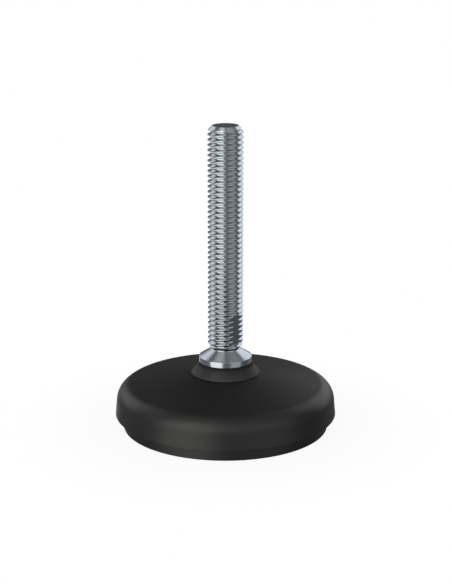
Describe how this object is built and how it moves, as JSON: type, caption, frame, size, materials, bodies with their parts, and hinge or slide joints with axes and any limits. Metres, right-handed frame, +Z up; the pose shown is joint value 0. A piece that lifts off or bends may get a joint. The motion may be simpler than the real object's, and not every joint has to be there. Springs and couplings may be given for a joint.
{
  "type": "machine levelling foot",
  "caption": "Machine levelling foot with a threaded steel stud, a ball joint under a rubber seal, and a round plastic plate on a rubber pad.",
  "frame": {"origin": "centre of the pad's underside, on the floor", "axes": "+Z up along the stud; +X and +Y across the plate, with the visible spanner flat turned 44 degrees from -Y towards +X"},
  "size_m": [0.0758, 0.0758, 0.1043],
  "materials": {
    "black_nylon": "fine moulded grain, matte",
    "black_rubber": "matte",
    "acetal": "smooth natural plastic",
    "seal_rubber": "matte",
    "zinc_plated_steel": "bright zinc plating on turned steel"
  },
  "bodies": {
    "foot": {"foot_plate": "black_nylon", "rubber_pad": "black_rubber"},
    "cup": {"ball_cup": "acetal"},
    "seal": {"sealing_cap": "seal_rubber"},
    "stud": {"stud": "zinc_plated_steel"}
  },
  "joints": [
    {"name": "cup_swivel", "type": "hinge", "parent": "foot", "child": "cup", "pos_m": [0, 0, 0.01615], "axis": [0, 0, 1], "continuous": true},
    {"name": "stud_tilt", "type": "hinge", "parent": "cup", "child": "seal", "pos_m": [0, 0, 0.01615], "axis": [1, 0, 0], "range_deg": [-10, 10], "deforming": ["sealing_cap"]},
    {"name": "stud_spin", "type": "hinge", "parent": "seal", "child": "stud", "pos_m": [0, 0, 0.01615], "axis": [0, 0, 1], "continuous": true}
  ]
}
